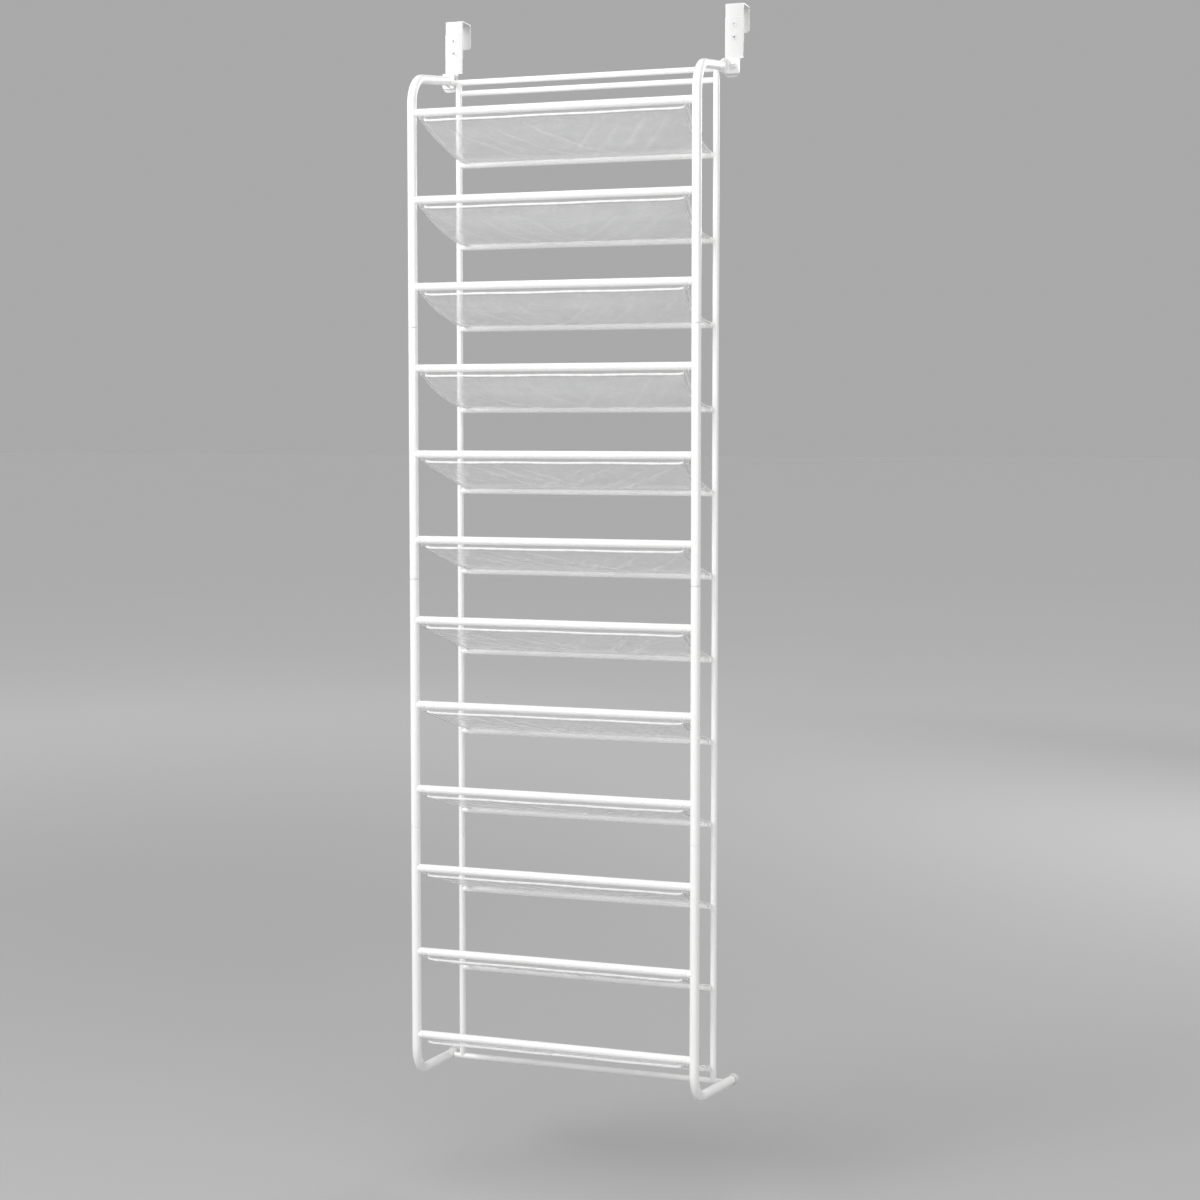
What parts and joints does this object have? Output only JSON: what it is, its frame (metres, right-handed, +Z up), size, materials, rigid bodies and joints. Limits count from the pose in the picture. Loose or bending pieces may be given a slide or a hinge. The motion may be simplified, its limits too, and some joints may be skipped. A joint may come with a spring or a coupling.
{
  "type": "over-door shoe organizer",
  "caption": "Tall hanging shoe rack of bent white tubes with sagging translucent slings between front and rear rails, hung from two flat hooks over a door.",
  "frame": {"origin": "on the door's top front edge, midway between the two hooks, at the underside of the hooks and in the plane of the door's front face", "axes": "+X to the right along the door, +Y from the room into the door, +Z up; the rack hangs at negative Y and Z"},
  "size_m": [0.544, 0.2581, 1.867],
  "materials": {
    "frame_white": "smooth semi-gloss white powder coat on steel tube",
    "hook_white": "satin white paint on steel strip",
    "sling_clear": "thin see-through white film cloth with a soft sheen",
    "cap_white": "soft white moulded plastic",
    "zinc_steel": "bright zinc-plated steel"
  },
  "bodies": {
    "frame": {"side_tube_left_1": "frame_white", "side_tube_left_2": "frame_white", "side_tube_left_3": "frame_white", "side_tube_left_4": "frame_white", "rear_upright_left": "frame_white", "hook_bolt_left": "zinc_steel", "hook_nut_left": "zinc_steel", "foot_cap_left": "cap_white", "side_tube_right_1": "frame_white", "side_tube_right_2": "frame_white", "side_tube_right_3": "frame_white", "side_tube_right_4": "frame_white", "rear_upright_right": "frame_white", "hook_bolt_right": "zinc_steel", "hook_nut_right": "zinc_steel", "foot_cap_right": "cap_white", "front_rail_01": "frame_white", "rear_rail_01": "frame_white", "sling_01": "sling_clear", "front_rail_02": "frame_white", "rear_rail_02": "frame_white", "sling_02": "sling_clear", "front_rail_03": "frame_white", "rear_rail_03": "frame_white", "sling_03": "sling_clear", "front_rail_04": "frame_white", "rear_rail_04": "frame_white", "sling_04": "sling_clear", "front_rail_05": "frame_white", "rear_rail_05": "frame_white", "sling_05": "sling_clear", "front_rail_06": "frame_white", "rear_rail_06": "frame_white", "sling_06": "sling_clear", "front_rail_07": "frame_white", "rear_rail_07": "frame_white", "sling_07": "sling_clear", "front_rail_08": "frame_white", "rear_rail_08": "frame_white", "sling_08": "sling_clear", "front_rail_09": "frame_white", "rear_rail_09": "frame_white", "sling_09": "sling_clear", "front_rail_10": "frame_white", "rear_rail_10": "frame_white", "sling_10": "sling_clear", "front_rail_11": "frame_white", "rear_rail_11": "frame_white", "sling_11": "sling_clear", "front_rail_12": "frame_white", "rear_rail_12": "frame_white", "sling_12": "sling_clear", "top_cross_rail": "frame_white", "second_cross_rail": "frame_white", "bottom_cross_rail": "frame_white"},
    "hook_left": {"door_hook_left": "hook_white", "hook_strap_left": "hook_white"},
    "hook_right": {"door_hook_right": "hook_white", "hook_strap_right": "hook_white"}
  },
  "joints": [
    {"name": "hook_left_swivel", "type": "hinge", "parent": "frame", "child": "hook_left", "pos_m": [-0.259, -0.019, -0.107], "axis": [0, 1, 0], "range_deg": [-90, 90]},
    {"name": "hook_right_swivel", "type": "hinge", "parent": "frame", "child": "hook_right", "pos_m": [0.259, -0.019, -0.107], "axis": [0, 1, 0], "range_deg": [-90, 90]}
  ]
}
